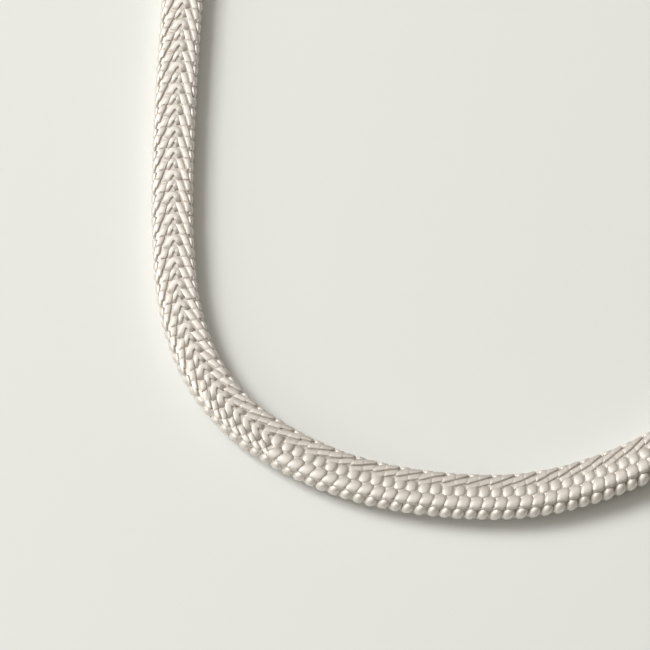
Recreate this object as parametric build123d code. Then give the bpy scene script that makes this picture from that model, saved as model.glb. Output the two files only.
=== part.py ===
from build123d import *
import math
import os

import numpy

# Woven chain necklace lying closed on a flat surface, in millimetres and degrees.
# +X is across the loop, +Y runs from the front curve to the clasp, +Z is up.
# The origin is on the surface, under the middle of the loop's box.

# Sizes of the loop
loop_length = 457.0
front_width = 88.7
back_lean = 1.0
front_roll = 20.0

# Sizes of the woven band
band_width = 6.0
band_thickness = 3.5
edge_round = 0.7

# Sizes of the end caps
cap_length = 5.0
cap_end_wall = 1.2
cap_wall = 0.5
cap_clearance = 0.06
cap_rim = 0.25
lift_run = 16.0

# Sizes of the clasp
clasp_length = 9.0
clasp_width = 6.4
clasp_height = 4.2
clasp_edge = 0.6
seam_inset = 2.4
seam_width = 0.25
seam_depth = 0.2
tab_length = 3.2
tab_width = 2.2
tab_height = 0.5
tab_edge = 0.2

# How far a straight stretch between two sections may stand off the true curve
chord_error = 0.1

# Front curve to the left of its lowest point: each arc's radius as a share of the
# front width, and the degrees that it turns
left_front = [
    {"radius": 0.81, "turn": 12},
    {"radius": 0.535, "turn": 24},
    {"radius": 0.311, "turn": 32},
    {"radius": 0.45, "turn": 16},
    {"radius": 1.45, "turn": 6},
    {"radius": 4.40, "turn": 3},
]

# Front curve to the right of its lowest point
right_front = [
    {"radius": 0.45, "turn": 14},
    {"radius": 0.63, "turn": 16},
    {"radius": 0.405, "turn": 46},
    {"radius": 0.79, "turn": 14},
    {"radius": 4.40, "turn": 3},
]

# How far the outer edge is raised: places as shares of the band from its left cap to
# its right cap, and the roll there as a share of the front roll
roll_table = [
    {"place": 0.385, "roll": 0.00},
    {"place": 0.415, "roll": 0.22},
    {"place": 0.450, "roll": 0.45},
    {"place": 0.485, "roll": 0.67},
    {"place": 0.525, "roll": 0.76},
    {"place": 0.560, "roll": 1.00},
    {"place": 0.590, "roll": 0.94},
    {"place": 0.700, "roll": 0.00},
]

pocket_width = band_width + 2 * cap_clearance
pocket_thickness = band_thickness + 2 * cap_clearance
pocket_round = edge_round + cap_clearance
pocket_depth = cap_length - cap_end_wall
cap_width = pocket_width + 2 * cap_wall
cap_thickness = pocket_thickness + 2 * cap_wall
cap_round = pocket_round + cap_wall
band_lift = cap_wall + cap_clearance
mouth = clasp_length / 2 + cap_length


def turned(start_heading, turn):
    """Where an arc of radius 1 leads, across and along, and how long it is."""
    first = math.radians(start_heading)
    last = math.radians(start_heading + turn)
    across = math.sin(last) - math.sin(first)
    along = math.cos(first) - math.cos(last)
    return numpy.array([across, along, last - first])


def walk(arcs):
    """Where one side of the front curve leads from its lowest point, and its heading."""
    reach = numpy.zeros(3)
    heading = 0.0
    for arc in arcs:
        reach += front_width * arc["radius"] * turned(heading, arc["turn"])
        heading += arc["turn"]
    return reach, heading


def close_the_loop():
    """Radii of the left side, the right side and the back at the loop's length."""
    left, left_heading = walk(left_front)
    right, right_heading = walk(right_front)
    left_side = turned(left_heading, back_lean)
    right_side = turned(right_heading, back_lean)
    left_back = turned(left_heading + back_lean, 180 - left_heading - back_lean)
    right_back = turned(right_heading + back_lean, 180 - right_heading - back_lean)
    # A column for each unknown radius, and a row each for across, along and length
    shares = numpy.array(
        [
            [left_side[0], right_side[0], left_back[0] + right_back[0]],
            [left_side[1], -right_side[1], left_back[1] - right_back[1]],
            [left_side[2], right_side[2], left_back[2] + right_back[2]],
        ]
    )
    wanted = numpy.array(
        [
            2 * mouth - left[0] - right[0],
            right[1] - left[1],
            loop_length - 2 * mouth - left[2] - right[2],
        ]
    )
    return numpy.linalg.solve(shares, wanted)


left_radius, right_radius, back_radius = close_the_loop()
print("side radii", round(left_radius, 1), round(right_radius, 1))
print("back radius", round(back_radius, 1))


def arcs_in_order():
    """Radius and turn of every arc from the left cap round the front to the right."""
    left_turn = sum(arc["turn"] for arc in left_front)
    right_turn = sum(arc["turn"] for arc in right_front)
    arcs = [(back_radius, 180 - left_turn - back_lean), (left_radius, back_lean)]
    arcs += [(front_width * arc["radius"], arc["turn"]) for arc in reversed(left_front)]
    arcs += [(front_width * arc["radius"], arc["turn"]) for arc in right_front]
    arcs += [(right_radius, back_lean), (back_radius, 180 - right_turn - back_lean)]
    return arcs


def stations():
    """Plan place, heading and distance from the left cap of sections along the band."""
    x = -mouth
    y = 0.0
    heading = math.pi
    distance = 0.0
    places = [(x + pocket_depth, y, heading, distance), (x, y, heading, distance)]
    for radius, turn in arcs_in_order():
        length = radius * math.radians(turn)
        steps = math.ceil(length / math.sqrt(8 * radius * chord_error))
        step_turn = math.radians(turn) / steps
        for _ in range(steps):
            x += radius * (math.sin(heading + step_turn) - math.sin(heading))
            y += radius * (math.cos(heading) - math.cos(heading + step_turn))
            heading += step_turn
            distance += length / steps
            places.append((x, y, heading, distance))
    places.append((x - pocket_depth, y, heading, distance))
    return places


def roll_at(share):
    """Roll of the band in degrees at a share of its length."""
    places = [row["place"] for row in roll_table]
    rolls = [front_roll * row["roll"] for row in roll_table]
    return float(numpy.interp(share, places, rolls))


def lift_at(distance, length):
    """How far the caps hold the band off the surface at a distance along it."""
    from_cap = min(distance, length - distance)
    share = max(0.0, 1 - from_cap / lift_run)
    return band_lift * share * share * (3 - 2 * share)


def band_plane(place, length):
    """Plane of one section, whose lowest point is on the surface or at its lift."""
    x, y, heading, distance = place
    roll = math.radians(roll_at(distance / length))
    height = (
        (band_width / 2 - edge_round) * math.sin(roll)
        + (band_thickness / 2 - edge_round) * math.cos(roll)
        + edge_round
        + lift_at(distance, length)
    )
    outward = Vector(math.sin(heading), -math.cos(heading), 0)
    across = outward * math.cos(roll) + Vector(0, 0, math.sin(roll))
    along = Vector(math.cos(heading), math.sin(heading), 0)
    return Plane(origin=(x, y, height), x_dir=across, z_dir=along)


def woven_band():
    """The band as one solid through its rounded sections."""
    places = stations()
    length = places[-1][3]
    print("band length", round(length + 2 * pocket_depth, 1), "sections", len(places))
    outline = RectangleRounded(band_width, band_thickness, edge_round)
    sections = [band_plane(place, length) * outline for place in places]
    return loft(sections, ruled=True)


def bar_along_x(first_x, last_x, width, thickness, corner):
    """A bar between two places along X, rounded along its length, middle at cap height."""
    plane = Plane(origin=(first_x, 0, cap_thickness / 2), x_dir=(0, 1, 0), z_dir=(1, 0, 0))
    outline = plane * RectangleRounded(width, thickness, corner)
    return extrude(outline, amount=last_x - first_x)


def end_cap(side):
    """Sleeve over one end of the band, closed towards the clasp; side is -1 or 1."""
    near = side * clasp_length / 2
    far = side * mouth
    body = bar_along_x(min(near, far), max(near, far), cap_width, cap_thickness, cap_round)
    ends = body.faces().sort_by(Axis.X)
    body = fillet(ends[0].edges() + ends[-1].edges(), cap_rim)
    floor = near + side * cap_end_wall
    pocket = bar_along_x(
        min(floor, far), max(floor, far), pocket_width, pocket_thickness, pocket_round
    )
    return body - pocket


def clasp():
    """Plain box clasp with a seam and a thumb tab, flat underneath."""
    body = Pos(0, 0, clasp_height / 2) * Box(clasp_length, clasp_width, clasp_height)
    body = fillet(body.edges(), clasp_edge)
    seam_x = clasp_length / 2 - seam_inset
    seam_middle = Pos(seam_x, 0, clasp_height / 2)
    outside = seam_middle * Box(seam_width, 2 * clasp_width, 2 * clasp_height)
    core = seam_middle * Box(
        2 * seam_width, clasp_width - 2 * seam_depth, clasp_height - 2 * seam_depth
    )
    body = body - (outside - core)
    tab_x = seam_x - seam_width / 2 - tab_length / 2
    tab = Pos(tab_x, 0, clasp_height) * Box(tab_length, tab_width, 2 * tab_height)
    return body + fillet(tab.edges(), tab_edge)


pieces = {
    "woven_band": woven_band(),
    "end_cap_left": end_cap(-1),
    "end_cap_right": end_cap(1),
    "clasp": clasp(),
}

box = Compound(list(pieces.values())).bounding_box()
to_origin = Pos(-(box.min.X + box.max.X) / 2, -(box.min.Y + box.max.Y) / 2, 0)

os.makedirs("parts", exist_ok=True)
for name, piece in pieces.items():
    placed = to_origin * piece
    export_step(placed, "parts/" + name + ".step")
    print(name, "volume", round(placed.volume, 1))
print("size", round(box.size.X, 2), round(box.size.Y, 2), round(box.size.Z, 2))
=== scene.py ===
from bisect import bisect_right
import math
import random

import bmesh
import bpy
import numpy
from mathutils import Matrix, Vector


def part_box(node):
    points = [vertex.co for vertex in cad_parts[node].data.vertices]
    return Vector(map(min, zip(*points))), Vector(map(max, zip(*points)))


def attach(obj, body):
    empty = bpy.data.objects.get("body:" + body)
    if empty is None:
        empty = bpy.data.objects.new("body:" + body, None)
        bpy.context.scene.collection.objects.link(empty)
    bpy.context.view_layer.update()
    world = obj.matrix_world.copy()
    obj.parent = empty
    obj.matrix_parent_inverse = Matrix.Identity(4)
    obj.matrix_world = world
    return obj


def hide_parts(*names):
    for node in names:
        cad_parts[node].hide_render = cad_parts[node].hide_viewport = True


# Woven chain necklace lying closed on a flat surface, in metres and degrees.
# The weave is made flat and straight, repeated, and laid along the loop's route.

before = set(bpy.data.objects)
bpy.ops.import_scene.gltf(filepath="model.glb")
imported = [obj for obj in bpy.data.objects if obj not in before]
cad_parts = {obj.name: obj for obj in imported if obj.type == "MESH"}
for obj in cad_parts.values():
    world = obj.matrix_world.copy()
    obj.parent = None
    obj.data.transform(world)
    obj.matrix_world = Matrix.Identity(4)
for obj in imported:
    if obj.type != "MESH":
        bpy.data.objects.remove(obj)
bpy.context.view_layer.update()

mm = 0.001

# The loop, the caps and the clasp as the solids have them
loop_length = 457.0 * mm
front_width = 88.7 * mm
back_lean = 1.0
front_roll = 20.0
band_width = 6.0 * mm
band_thickness = 3.5 * mm
edge_round = 0.7 * mm
band_lift = 0.56 * mm
lift_run = 16.0 * mm
mouth = 9.5 * mm
pocket_depth = 3.8 * mm

# Front curve to the left of its lowest point: each arc's radius as a share of the
# front width, and the degrees that it turns
left_front = [
    {"radius": 0.81, "turn": 12},
    {"radius": 0.535, "turn": 24},
    {"radius": 0.311, "turn": 32},
    {"radius": 0.45, "turn": 16},
    {"radius": 1.45, "turn": 6},
    {"radius": 4.40, "turn": 3},
]

# Front curve to the right of its lowest point
right_front = [
    {"radius": 0.45, "turn": 14},
    {"radius": 0.63, "turn": 16},
    {"radius": 0.405, "turn": 46},
    {"radius": 0.79, "turn": 14},
    {"radius": 4.40, "turn": 3},
]

# How far the outer edge is raised: places as shares of the band from its left cap to
# its right cap, and the roll there as a share of the front roll
roll_table = [
    {"place": 0.385, "roll": 0.00},
    {"place": 0.415, "roll": 0.22},
    {"place": 0.450, "roll": 0.45},
    {"place": 0.485, "roll": 0.67},
    {"place": 0.525, "roll": 0.76},
    {"place": 0.560, "roll": 1.00},
    {"place": 0.590, "roll": 0.94},
    {"place": 0.700, "roll": 0.00},
]

roll_places = [row["place"] for row in roll_table]
rolls = [math.radians(front_roll * row["roll"]) for row in roll_table]

# The weave's repeats, each two heads long, and those that run on into the caps
repeats = 129
repeats_before = 3
repeats_after = 2

# How far the weave and its core reach into the caps, as shares of a pocket's depth
weave_reach = 0.6
core_reach = 0.9

# How deep the shapes of the weave go below their crests
wire_depth = 0.55 * mm
lobe_depth = 0.24 * mm
ball_depth = 1.00 * mm
bead_depth = 0.94 * mm

# How half-round wire is rounded, as shares of its width, down to which share of its
# depth its rims are rounded, and where it is cut to be bent, as shares of its length
crest_round = 0.20
rim_round = 0.09
rim_foot = 0.9
bar_cuts = (-0.25, 0.0, 0.25)
head_cuts = (-0.12, 0.12)
head_bow = 0.10 * mm

# How the banked heads and tall lobes are pressed flat, and how far that spreads them
pressed_crown = 0.86
pressed_spread = 1.4

# How far the outer edge's round shapes stand out of the band, flat and fully raised
edge_bulge = 0.10 * mm
bead_bulge = 0.72 * mm

# How far the low shapes are sunk into the gaps between the banked rows
low_sink = 0.17 * mm

# How uneven the shapes are: in place, in size, in slope and in height
uneven_along = 0.05 * mm
uneven_out = 0.03 * mm
uneven_size = 0.04
uneven_slope = 0.07
uneven_sink = 0.05 * mm

# The depth at which the edge's round shapes get as much painted groove shade as the other shapes
# get at a wire's depth, and the share of the range of tones that the shapes with painted shade
# keep to
round_shade_depth = 2.00 * mm
shaded_share = 0.5

# How deep the core lies inside the band, and how its corners are rounded
groove_depth = 0.32 * mm
core_round = 0.65 * mm

# The picture's width in pixels, and its scale
picture_width = 650
pixels_per_mm = 7


def turned(start_heading, turn):
    """Where an arc of radius 1 leads, across and along, and how long it is."""
    first = math.radians(start_heading)
    last = math.radians(start_heading + turn)
    across = math.sin(last) - math.sin(first)
    along = math.cos(first) - math.cos(last)
    return numpy.array([across, along, last - first])


def walk(arcs):
    """Where one side of the front curve leads from its lowest point, and its heading."""
    reach = numpy.zeros(3)
    heading = 0.0
    for arc in arcs:
        reach += front_width * arc["radius"] * turned(heading, arc["turn"])
        heading += arc["turn"]
    return reach, heading


def close_the_loop():
    """Radii of the left side, the right side and the back at the loop's length."""
    left, left_heading = walk(left_front)
    right, right_heading = walk(right_front)
    left_side = turned(left_heading, back_lean)
    right_side = turned(right_heading, back_lean)
    left_back = turned(left_heading + back_lean, 180 - left_heading - back_lean)
    right_back = turned(right_heading + back_lean, 180 - right_heading - back_lean)
    shares = numpy.array(
        [
            [left_side[0], right_side[0], left_back[0] + right_back[0]],
            [left_side[1], -right_side[1], left_back[1] - right_back[1]],
            [left_side[2], right_side[2], left_back[2] + right_back[2]],
        ]
    )
    wanted = numpy.array(
        [
            2 * mouth - left[0] - right[0],
            right[1] - left[1],
            loop_length - 2 * mouth - left[2] - right[2],
        ]
    )
    return numpy.linalg.solve(shares, wanted)


def arcs_in_order():
    """Radius and turn of every arc from the left cap round the front to the right."""
    left_radius, right_radius, back_radius = close_the_loop()
    left_turn = sum(arc["turn"] for arc in left_front)
    right_turn = sum(arc["turn"] for arc in right_front)
    arcs = [(back_radius, 180 - left_turn - back_lean), (left_radius, back_lean)]
    arcs += [(front_width * arc["radius"], arc["turn"]) for arc in reversed(left_front)]
    arcs += [(front_width * arc["radius"], arc["turn"]) for arc in right_front]
    arcs += [(right_radius, back_lean), (back_radius, 180 - right_turn - back_lean)]
    return arcs


def lay_out_route():
    """Where each arc of the route starts, its heading and radius, and the whole length."""
    clasp_low, clasp_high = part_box("clasp")
    x = (clasp_low[0] + clasp_high[0]) / 2 - mouth
    y = (clasp_low[1] + clasp_high[1]) / 2
    heading = math.pi
    distance = 0.0
    route = []
    for radius, degrees in arcs_in_order():
        turn = math.radians(degrees)
        route.append((distance, x, y, heading, radius))
        x += radius * (math.sin(heading + turn) - math.sin(heading))
        y += radius * (math.cos(heading) - math.cos(heading + turn))
        heading += turn
        distance += radius * turn
    return route, distance


route, band_length = lay_out_route()
starts = [arc[0] for arc in route]
repeat = band_length / repeats


def on_route(along, across, up):
    """The place of a point along the straight band, once the band lies in its loop."""
    distance = min(max(along, 0.0), band_length)
    start, x, y, heading, radius = route[bisect_right(starts, distance) - 1]
    turn = (distance - start) / radius
    x += radius * (math.sin(heading + turn) - math.sin(heading))
    y += radius * (math.cos(heading) - math.cos(heading + turn))
    heading += turn
    x += (along - distance) * math.cos(heading)
    y += (along - distance) * math.sin(heading)
    roll = float(numpy.interp(distance / band_length, roll_places, rolls))
    near_cap = max(0.0, 1 - min(distance, band_length - distance) / lift_run)
    middle = (
        (band_width / 2 - edge_round) * math.sin(roll)
        + (band_thickness / 2 - edge_round) * math.cos(roll)
        + edge_round
        + band_lift * near_cap * near_cap * (3 - 2 * near_cap)
    )
    outward = across * math.cos(roll) - up * math.sin(roll)
    height = middle + across * math.sin(roll) + up * math.cos(roll)
    return (x + outward * math.sin(heading), y - outward * math.cos(heading), height)


# Distances round the band's section, from the middle of its upper face
half_flat = band_width / 2 - edge_round
half_wall = band_thickness / 2 - edge_round
corner_run = edge_round * math.pi / 2
half_round = 2 * half_flat + 2 * half_wall + 2 * corner_run


def round_section(distance, height):
    """Across and up of a point at a distance round the section and a height over it."""
    side = math.copysign(1, distance)
    past = abs(distance)
    if past < half_flat:
        return side * past, band_thickness / 2 + height
    past -= half_flat
    if past < corner_run:
        angle = past / edge_round
        reach = edge_round + height
        return (
            side * (half_flat + reach * math.sin(angle)),
            half_wall + reach * math.cos(angle),
        )
    past -= corner_run
    if past < 2 * half_wall:
        return side * (band_width / 2 + height), half_wall - past
    past -= 2 * half_wall
    if past < corner_run:
        angle = past / edge_round
        reach = edge_round + height
        return (
            side * (half_flat + reach * math.cos(angle)),
            -half_wall - reach * math.sin(angle),
        )
    past -= corner_run
    return side * (half_flat - past), -band_thickness / 2 - height


def rounded_bar(length, width, bow):
    """A length of half-round wire: flat underneath, its crest at height 0, its ends low."""
    bar = bmesh.new()
    bmesh.ops.create_cube(bar, size=1.0)
    bmesh.ops.scale(bar, vec=(length, width, wire_depth), verts=bar.verts)
    bmesh.ops.translate(bar, vec=(0, 0, -wire_depth / 2), verts=bar.verts)
    lengthwise = [
        edge
        for edge in bar.edges
        if edge.verts[0].co.z > -wire_depth / 2
        and abs(edge.verts[0].co.x - edge.verts[1].co.x) > length / 2
    ]
    bmesh.ops.bevel(
        bar, geom=lengthwise, offset=crest_round * width, offset_type="OFFSET", segments=3,
        profile=0.5, affect="EDGES", material=-1,
    )
    rims = [
        edge
        for edge in bar.edges
        if abs(edge.verts[0].co.x - edge.verts[1].co.x) < length / 2
        and max(vert.co.z for vert in edge.verts) > -rim_foot * wire_depth
    ]
    bmesh.ops.bevel(
        bar, geom=rims, offset=rim_round * width, offset_type="OFFSET", segments=2,
        profile=0.5, affect="EDGES", material=-1,
    )
    for share in bar_cuts:
        cut_across(bar, share * length)
    for vert in bar.verts:
        vert.co.z -= bow * (2 * vert.co.x / length) ** 2
    return bar


def cut_across(bar, place):
    """A cut right round a bar, so that it can be bent there."""
    bmesh.ops.bisect_plane(
        bar, geom=bar.verts[:] + bar.edges[:] + bar.faces[:],
        plane_co=(place, 0, 0), plane_no=(1, 0, 0),
    )


def pillow(length, width, depth, roundness, crown=1.0, spread=1.0):
    """The turn of a wire: a lump between a block, 0, and an egg, 1, crest at height 0.

    Its top is pressed flat at the crown's share of its height, and spread wider there.
    """
    lump = bmesh.new()
    bmesh.ops.create_cube(lump, size=1.0)
    bmesh.ops.subdivide_edges(lump, edges=lump.edges[:], cuts=2, use_grid_fill=True)
    for vert in lump.verts:
        vert.co = vert.co.lerp(0.5 * vert.co.normalized(), roundness)
    height = max(vert.co.z for vert in lump.verts)
    for vert in lump.verts:
        if vert.co.z > crown * height:
            vert.co = (spread * vert.co.x, spread * vert.co.y, crown * height)
    size = (length / 2 / height, width / 2 / height, depth / crown / height)
    bmesh.ops.scale(lump, vec=size, verts=lump.verts)
    bmesh.ops.translate(lump, vec=(0, 0, -depth), verts=lump.verts)
    return lump


def bent_head(outer, apex, inner, inside, outside):
    """A head with its two legs: one bar bent along a smooth curve through the apex."""
    unit_width = 1.0 * mm
    bar = rounded_bar(1.0, unit_width, head_bow)
    for share in head_cuts:
        cut_across(bar, share)
    for vert in bar.verts:
        share = min(max(vert.co.x + 0.5, 0.0), 1.0)
        rest = 1 - share
        place = rest * rest * outer + 2 * rest * share * apex + share * share * inner
        heading = (rest * (apex - outer) + share * (inner - apex)).normalized()
        widths = inside if vert.co.y > 0 else outside
        width = 2 * numpy.interp(share, (0.0, 0.5, 1.0), widths)
        sideways = Vector((-heading.y, heading.x)) * vert.co.y / unit_width * width
        vert.co.x = place.x + sideways.x
        vert.co.y = place.y + sideways.y
    return bar


def as_template(name, shape):
    """Keeps a finished shape as a mesh, to be set down many times."""
    bmesh.ops.recalc_face_normals(shape, faces=shape.faces)
    template = bpy.data.meshes.new(name)
    shape.to_mesh(template)
    shape.free()
    return template


def pixels(*numbers):
    """Sizes measured on the picture, in metres."""
    return [number * mm / pixels_per_mm for number in numbers]


def point(along, across):
    """A point of the flat weave, measured on the picture."""
    return Vector(pixels(along, across))


# Heads with their legs, for the flat stretches and for the corner
large_head = as_template(
    "large_head",
    bent_head(
        outer=point(13.8, 7.4), apex=point(-5.5, -1.2), inner=point(11.2, -6.8),
        inside=pixels(3.2, 2.6, 2.8), outside=pixels(3.3, 4.3, 2.9),
    ),
)
small_head = as_template(
    "small_head",
    bent_head(
        outer=point(12.6, 5.0), apex=point(-4.2, -0.8), inner=point(10.0, -4.6),
        inside=pixels(1.4, 2.2, 2.4), outside=pixels(1.9, 4.0, 2.6),
    ),
)
corner_head = as_template(
    "corner_head",
    bent_head(
        outer=point(14.0, 8.0), apex=point(-4.4, -0.8), inner=point(10.4, -5.0),
        inside=pixels(3.2, 2.7, 2.8), outside=pixels(3.3, 4.6, 2.9),
    ),
)

# Bars, each with its length, width and bow in pixels
outer_bar = as_template("outer_bar", rounded_bar(*pixels(9.7, 6.6, 0.6)))
corner_bar = as_template("corner_bar", rounded_bar(*pixels(9.0, 6.4, 0.6)))
low_bar = as_template("low_bar", rounded_bar(*pixels(9.4, 6.4, 0.6)))
thin_bar = as_template("thin_bar", rounded_bar(*pixels(13.0, 5.9, 0.0)))
inner_bar = as_template("inner_bar", rounded_bar(*pixels(11.9, 6.6, 0.4)))

# Turns of the wire, each with its length and width in pixels
banked_head = as_template(
    "banked_head",
    pillow(
        *pixels(12.2, 14.8), depth=wire_depth, roundness=0.93,
        crown=pressed_crown, spread=pressed_spread,
    ),
)
tall_lobe = as_template(
    "tall_lobe",
    pillow(
        *pixels(12.6, 17.4), depth=lobe_depth, roundness=0.95,
        crown=pressed_crown, spread=pressed_spread,
    ),
)
corner_lobe = as_template(
    "corner_lobe", pillow(*pixels(11.6, 9.6), depth=wire_depth, roundness=0.72)
)
low_lobe = as_template("low_lobe", pillow(*pixels(11.6, 9.0), depth=wire_depth, roundness=0.72))
wall_ball = as_template("wall_ball", pillow(*pixels(12.6, 18.4), depth=ball_depth, roundness=0.95))
wall_bead = as_template("wall_bead", pillow(*pixels(11.4, 14.6), depth=bead_depth, roundness=1.0))

# The corner and the banked stretch, where the outer edge is raised
raised = ["corner", "banked"]

# One repeat of the weave, two heads long, in pixels along and outwards from the middle
# of the upper face. Flat stretches have long rows of bars outside the heads, the corner
# has short ones, and banked stretches have tall lobes with low bars in the gaps between
# them and the heads.
face_rows = [
    {"shape": inner_bar, "along": 17.8, "out": -8.2, "slope": -0.33, "where": ["flat"]},
    {"shape": inner_bar, "along": 29.6, "out": -12.2, "slope": -0.33, "where": ["flat"]},
    {"shape": inner_bar, "along": 41.4, "out": -16.0, "slope": -0.33, "where": ["flat"]},
    {"shape": thin_bar, "along": 6.0, "out": -5.4, "slope": -0.33, "where": raised},
    {"shape": thin_bar, "along": 17.8, "out": -9.8, "slope": -0.33, "where": raised},
    {"shape": thin_bar, "along": 29.6, "out": -12.6, "slope": -0.33, "where": raised},
    {"shape": thin_bar, "along": 41.4, "out": -17.2, "slope": -0.33, "where": raised},
    {"shape": large_head, "along": 0.0, "out": 0.0, "where": ["flat"]},
    {"shape": small_head, "along": 11.8, "out": 0.0, "where": ["flat"]},
    {"shape": outer_bar, "along": 19.9, "out": 9.0, "slope": 0.36, "where": ["flat"]},
    {"shape": outer_bar, "along": 29.9, "out": 12.9, "slope": 0.36, "where": ["flat"]},
    {"shape": outer_bar, "along": 39.3, "out": 16.6, "slope": 0.36, "where": ["flat"]},
    {"shape": corner_head, "along": 0.0, "out": 0.6, "where": ["corner"]},
    {"shape": corner_head, "along": 11.8, "out": 0.6, "where": ["corner"]},
    {"shape": corner_bar, "along": 7.6, "out": 12.4, "slope": 0.50, "where": ["corner"]},
    {"shape": corner_bar, "along": 19.4, "out": 12.4, "slope": 0.50, "where": ["corner"]},
    {"shape": corner_bar, "along": 3.4, "out": 17.6, "slope": 0.50, "where": ["corner"]},
    {"shape": corner_bar, "along": 15.2, "out": 17.6, "slope": 0.50, "where": ["corner"]},
    {"shape": banked_head, "along": 5.6, "out": 0.8, "lean": -0.1, "where": ["banked"]},
    {"shape": banked_head, "along": 17.4, "out": 0.8, "lean": -0.1, "where": ["banked"]},
    {"shape": tall_lobe, "along": 9.6, "out": 14.7, "lean": -0.27, "where": ["banked"]},
    {"shape": tall_lobe, "along": 21.4, "out": 14.7, "lean": -0.27, "where": ["banked"]},
    {"shape": low_bar, "along": 8.7, "out": 7.5, "slope": -0.50, "where": ["banked"]},
    {"shape": low_bar, "along": 20.5, "out": 7.5, "slope": -0.50, "where": ["banked"]},
]

# One repeat of the weave's two edges, in the same pixels: balls or beads on the wall,
# with lobes on the corners of the section above and below them
edge_rows = [
    {"shape": corner_lobe, "along": 8.5, "out": 21.4, "slope": 0.35, "where": ["flat"]},
    {"shape": corner_lobe, "along": 20.3, "out": 21.4, "slope": 0.35, "where": ["flat"]},
    {"shape": wall_ball, "along": 4.2, "out": 31.2, "lean": -0.2, "where": ["flat"]},
    {"shape": wall_ball, "along": 16.0, "out": 31.2, "lean": -0.2, "where": ["flat"]},
    {"shape": wall_bead, "along": 4.2, "out": 30.9, "lean": -0.25, "where": raised},
    {"shape": wall_bead, "along": 16.0, "out": 30.9, "lean": -0.25, "where": raised},
    {"shape": low_lobe, "along": 6.7, "out": 23.0, "slope": 0.10, "where": raised},
    {"shape": low_lobe, "along": 18.5, "out": 23.0, "slope": 0.10, "where": raised},
    {"shape": corner_lobe, "along": 8.5, "out": 44.6, "slope": -0.35, "where": ["flat"]},
    {"shape": corner_lobe, "along": 20.3, "out": 44.6, "slope": -0.35, "where": ["flat"]},
    {"shape": corner_lobe, "along": 8.5, "out": 48.0, "slope": -0.35, "where": raised},
    {"shape": corner_lobe, "along": 20.3, "out": 48.0, "slope": -0.35, "where": raised},
]

# The shares of the front roll from which a stretch is a corner, and from which banked
corner_from = 0.15
banked_from = 0.33

# The shapes that are sunk, the round ones, and those of the raised stretch that get painted shade
# by keeping to the darker tones
low_shapes = (low_bar, low_lobe)
round_shapes = (wall_ball, wall_bead)
shaded_shapes = (banked_head, tall_lobe, thin_bar, low_bar, low_lobe)

random.seed(7)


def rise_at(along):
    """How far the outer edge is raised at a place along the band, from 0 to 1."""
    return float(numpy.interp(along / band_length, roll_places, rolls)) / max(rolls)


def stretch_at(along):
    """Which kind of stretch the outer half of the band has at a place along it."""
    rise = rise_at(along)
    if rise > banked_from:
        return "banked"
    if rise > corner_from:
        return "corner"
    return "flat"


def bulge_of(shape, side, along):
    """How far a shape stands out of the band's section at a place along it."""
    if shape is wall_bead:
        return edge_bulge + (bead_bulge - edge_bulge) * rise_at(along)
    if shape is wall_ball and side > 0:
        return edge_bulge
    return 0.0


def uneven(reach):
    """A chance difference of up to a reach, either way."""
    return random.uniform(-reach, reach)


def set_down(sheet, row, start, side, upper):
    """Adds one shape of a row to the flat weave, sheared to its slope, a little uneven."""
    along, out = pixels(row["along"], row["out"])
    along += start + uneven(uneven_along)
    out += uneven(uneven_out)
    past_end = weave_reach * pocket_depth
    if not -past_end < along < band_length + past_end:
        return
    stretch = stretch_at(along) if side > 0 and upper else "flat"
    if stretch not in row["where"]:
        return
    shape = row["shape"]
    count = len(sheet.verts)
    sheet.from_mesh(shape)
    sheet.verts.ensure_lookup_table()
    depth_layer = sheet.verts.layers.float["depth"]
    tone_layer = sheet.verts.layers.float["tone"]
    size = 1 + uneven(uneven_size)
    slope = row.get("slope", 0.0) + uneven(uneven_slope)
    lean = row.get("lean", 0.0) + uneven(uneven_slope)
    sink = random.uniform(0.0, uneven_sink)
    if shape in low_shapes:
        sink += low_sink
    # Painted shade: the shapes of the raised stretch keep to the darker share of the tones, the
    # others to the lighter share
    tone = random.uniform(0.0, 1.0)
    if shape in shaded_shapes:
        tone *= shaded_share
    else:
        tone = shaded_share + (1 - shaded_share) * tone
    # How deep the painted groove shade runs on this shape
    shade_depth = round_shade_depth if shape in round_shapes else wire_depth
    bulge = bulge_of(shape, side, along)
    for vert in sheet.verts[count:]:
        x = (vert.co.x + vert.co.y * lean) * size
        y = (vert.co.y + vert.co.x * slope) * size
        # The depth drives the painted shade, which darkens the colour towards the groove colour
        vert[depth_layer] = -vert.co.z / shade_depth
        vert[tone_layer] = tone
        vert.co = (along + x, side * (out + y), vert.co.z - sink + bulge)


def laid_weave(name, rows, sides, material, underneath=False):
    """Rows of shapes, repeated along the band and laid round it, as a finished piece."""
    sheet = bmesh.new()
    sheet.verts.layers.float.new("depth")
    sheet.verts.layers.float.new("tone")
    for number in range(-repeats_before, repeats + repeats_after):
        for row in rows:
            for side in sides:
                set_down(sheet, row, number * repeat, side, not underneath)
    for vert in sheet.verts:
        along, out, height = vert.co
        if underneath:
            out = math.copysign(half_round, out) - out
        vert.co = on_route(along, *round_section(out, height))
    finish_piece(name, sheet, material)


def finish_piece(name, shape, material):
    """A shape as an object that stands for the band, smooth and facing outwards."""
    bmesh.ops.recalc_face_normals(shape, faces=shape.faces)
    for face in shape.faces:
        face.smooth = True
    mesh = bpy.data.meshes.new(name)
    shape.to_mesh(mesh)
    shape.free()
    mesh.materials.append(material)
    piece = bpy.data.objects.new(name, mesh)
    bpy.context.collection.objects.link(piece)
    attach(piece, "root")
    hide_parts("woven_band")


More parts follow.
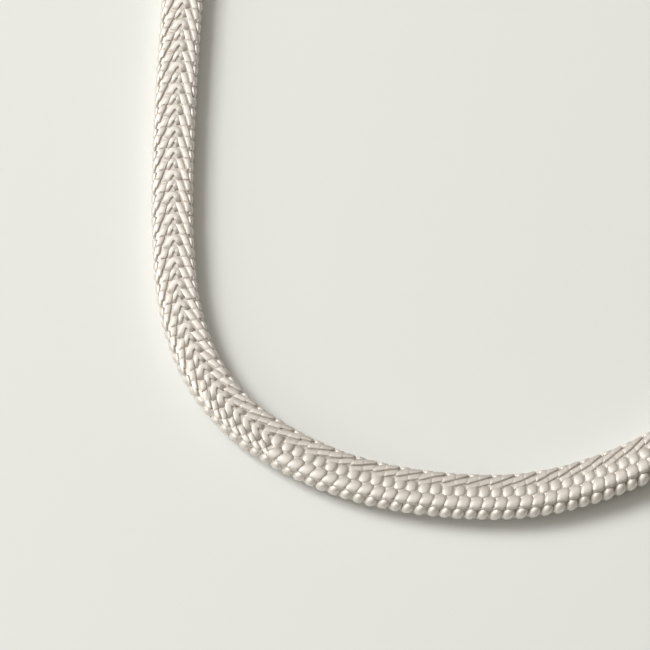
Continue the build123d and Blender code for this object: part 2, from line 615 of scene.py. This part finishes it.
def band_core(material):
    """The inner wires of the band, as one plain bar along the route."""
    core = bmesh.new()
    bmesh.ops.create_cube(core, size=1.0)
    size = (
        band_length + 2 * core_reach * pocket_depth,
        band_width - 2 * groove_depth,
        band_thickness - 2 * groove_depth,
    )
    bmesh.ops.scale(core, vec=size, verts=core.verts)
    bmesh.ops.translate(core, vec=(band_length / 2, 0, 0), verts=core.verts)
    lengthwise = [edge for edge in core.edges if edge.calc_length() > band_length]
    bmesh.ops.bevel(
        core, geom=lengthwise, offset=core_round, offset_type="OFFSET",
        segments=3, profile=0.5, affect="EDGES", material=-1,
    )
    lengthwise = [edge for edge in core.edges if edge.calc_length() > band_length]
    bmesh.ops.subdivide_edges(core, edges=lengthwise, cuts=2 * repeats, use_grid_fill=True)
    for vert in core.verts:
        vert.co = on_route(*vert.co)
    finish_piece("weave_core", core, material)


def new_material(name):
    """A node material, its shader and its node tree."""
    material = bpy.data.materials.new(name)
    material.use_nodes = True
    nodes = material.node_tree.nodes
    return material, nodes["Principled BSDF"], nodes, material.node_tree.links


def silver_material(name, crest, groove_shade):
    """Satin silver with a fine grain, with painted shade in its grooves and on the shapes that
    keep to the darker tones.
    """
    material, shader, nodes, links = new_material(name)
    shader.inputs["Metallic"].default_value = 0.75
    # Painted shade: the base colour runs from the crest colour to the groove colour as a shape
    # goes deeper
    depth = nodes.new("ShaderNodeAttribute")
    depth.attribute_name = "depth"
    ramp = nodes.new("ShaderNodeValToRGB")
    ramp.color_ramp.elements[0].position = 0.28
    ramp.color_ramp.elements[0].color = (*crest, 1)
    ramp.color_ramp.elements[1].position = 0.70
    ramp.color_ramp.elements[1].color = (*groove_shade, 1)
    # Each shape's tone: chance differences, with painted shade on the shapes that keep to the
    # darker share
    tone = nodes.new("ShaderNodeAttribute")
    tone.attribute_name = "tone"
    dimmer = nodes.new("ShaderNodeMapRange")
    dimmer.inputs["To Min"].default_value = 0.90
    dimmer.inputs["To Max"].default_value = 1.00
    shaded = nodes.new("ShaderNodeVectorMath")
    shaded.operation = "SCALE"
    place = nodes.new("ShaderNodeTexCoord")
    grain = nodes.new("ShaderNodeTexNoise")
    grain.inputs["Scale"].default_value = 5000.0
    grain.inputs["Detail"].default_value = 3.0
    gloss = nodes.new("ShaderNodeMapRange")
    gloss.inputs["To Min"].default_value = 0.54
    gloss.inputs["To Max"].default_value = 0.68
    bump = nodes.new("ShaderNodeBump")
    bump.inputs["Strength"].default_value = 0.40
    bump.inputs["Distance"].default_value = 0.00003
    links.new(depth.outputs["Fac"], ramp.inputs["Fac"])
    links.new(tone.outputs["Fac"], dimmer.inputs["Value"])
    links.new(ramp.outputs["Color"], shaded.inputs[0])
    links.new(dimmer.outputs["Result"], shaded.inputs["Scale"])
    links.new(shaded.outputs["Vector"], shader.inputs["Base Color"])
    links.new(place.outputs["Object"], grain.inputs["Vector"])
    links.new(grain.outputs["Fac"], gloss.inputs["Value"])
    links.new(gloss.outputs["Result"], shader.inputs["Roughness"])
    links.new(grain.outputs["Fac"], bump.inputs["Height"])
    links.new(bump.outputs["Normal"], shader.inputs["Normal"])
    return material


def plain_silver_material():
    """Satin silver sheet with faint brush marks, for the caps and the clasp."""
    material, shader, nodes, links = new_material("plain_silver")
    shader.inputs["Metallic"].default_value = 1.0
    place = nodes.new("ShaderNodeTexCoord")
    stretch = nodes.new("ShaderNodeMapping")
    stretch.inputs["Scale"].default_value = (0.06, 1.0, 1.0)
    marks = nodes.new("ShaderNodeTexNoise")
    marks.inputs["Scale"].default_value = 9000.0
    marks.inputs["Detail"].default_value = 4.0
    tint = nodes.new("ShaderNodeValToRGB")
    tint.color_ramp.elements[0].color = (0.74, 0.72, 0.69, 1)
    tint.color_ramp.elements[1].color = (0.90, 0.88, 0.85, 1)
    gloss = nodes.new("ShaderNodeMapRange")
    gloss.inputs["To Min"].default_value = 0.26
    gloss.inputs["To Max"].default_value = 0.42
    bump = nodes.new("ShaderNodeBump")
    bump.inputs["Strength"].default_value = 0.2
    bump.inputs["Distance"].default_value = 0.00002
    links.new(place.outputs["Object"], stretch.inputs["Vector"])
    links.new(stretch.outputs["Vector"], marks.inputs["Vector"])
    links.new(marks.outputs["Fac"], tint.inputs["Fac"])
    links.new(tint.outputs["Color"], shader.inputs["Base Color"])
    links.new(marks.outputs["Fac"], gloss.inputs["Value"])
    links.new(gloss.outputs["Result"], shader.inputs["Roughness"])
    links.new(marks.outputs["Fac"], bump.inputs["Height"])
    links.new(bump.outputs["Normal"], shader.inputs["Normal"])
    return material


# Colours of the woven silver: on its crests, in its grooves as a painted shade, and on its inner
# wires
crest_silver = (0.83, 0.79, 0.745)
groove_shade_silver = (0.63, 0.59, 0.54)
# The inner wires are real, but their colour is a little darker than the crests: painted shade
# where they show in the gaps
shaded_inner_silver = (0.79, 0.75, 0.70)

woven_silver = silver_material("woven_silver", crest_silver, groove_shade_silver)
inner_wire = silver_material("inner_wire", shaded_inner_silver, shaded_inner_silver)
plain_silver = plain_silver_material()

laid_weave("weave_top", face_rows, (1,), woven_silver)
laid_weave("weave_under", face_rows, (1,), woven_silver, underneath=True)
laid_weave("weave_edges", edge_rows, (1, -1), woven_silver)
band_core(inner_wire)

for node in ("end_cap_left", "end_cap_right", "clasp"):
    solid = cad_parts[node]
    solid.data.materials.clear()
    solid.data.materials.append(plain_silver)

# Floor
floor_reach = 1.5
floor_shape = bmesh.new()
bmesh.ops.create_grid(floor_shape, x_segments=1, y_segments=1, size=floor_reach)
floor_mesh = bpy.data.meshes.new("floor")
floor_shape.to_mesh(floor_mesh)
floor_shape.free()
floor = bpy.data.objects.new("floor", floor_mesh)
bpy.context.collection.objects.link(floor)
floor_paint, floor_shader, _, _ = new_material("floor_paint")
floor_shader.inputs["Base Color"].default_value = (0.80, 0.82, 0.805, 1)
floor_shader.inputs["Roughness"].default_value = 0.9
floor_mesh.materials.append(floor_paint)

# Camera, steeply above the front curve, as the picture was taken
camera_tilt = math.radians(20.0)
camera_distance = 0.6
framed_width = picture_width / pixels_per_mm * mm
aim = Vector((-22.4 * mm, -61.8 * mm, 2.0 * mm))
lens = bpy.data.cameras.new("camera")
lens.sensor_width = 36.0
lens.lens = lens.sensor_width * camera_distance / framed_width
lens.clip_start = 0.01
camera = bpy.data.objects.new("camera", lens)
bpy.context.collection.objects.link(camera)
towards_camera = Vector((0, -math.sin(camera_tilt), math.cos(camera_tilt)))
camera.location = aim + camera_distance * towards_camera
camera.rotation_euler = (camera_tilt, 0, 0)
bpy.context.scene.camera = camera


def area_lamp(name, size, energy, direction, distance, color):
    """A square lamp at a distance from the camera's aim, pointing at it."""
    lamp = bpy.data.lights.new(name, "AREA")
    lamp.size = size
    lamp.energy = energy
    lamp.color = color
    holder = bpy.data.objects.new(name, lamp)
    bpy.context.collection.objects.link(holder)
    holder.location = aim + direction.normalized() * distance
    holder.rotation_euler = direction.to_track_quat("Z", "Y").to_euler()


# Light: a soft lamp from the upper left, a wide one overhead, a low one from the left,
# and a dim warm room
area_lamp(
    "key", size=0.75, energy=20.2, direction=Vector((-0.63, 0.27, 0.74)), distance=1.6,
    color=(1.0, 0.985, 0.96),
)
area_lamp(
    "overhead", size=2.6, energy=8.5, direction=Vector((-0.15, 0.30, 1.0)), distance=2.0,
    color=(1.0, 0.98, 0.94),
)
area_lamp(
    "window", size=0.8, energy=5.0, direction=Vector((-0.90, -0.27, 0.45)), distance=1.6,
    color=(1.0, 0.99, 0.97),
)
room = bpy.data.worlds.new("soft_room")
room.use_nodes = True
room.node_tree.nodes["Background"].inputs["Color"].default_value = (1.0, 0.91, 0.78, 1)
room.node_tree.nodes["Background"].inputs["Strength"].default_value = 0.22
bpy.context.scene.world = room
bpy.context.scene.view_settings.view_transform = "Standard"
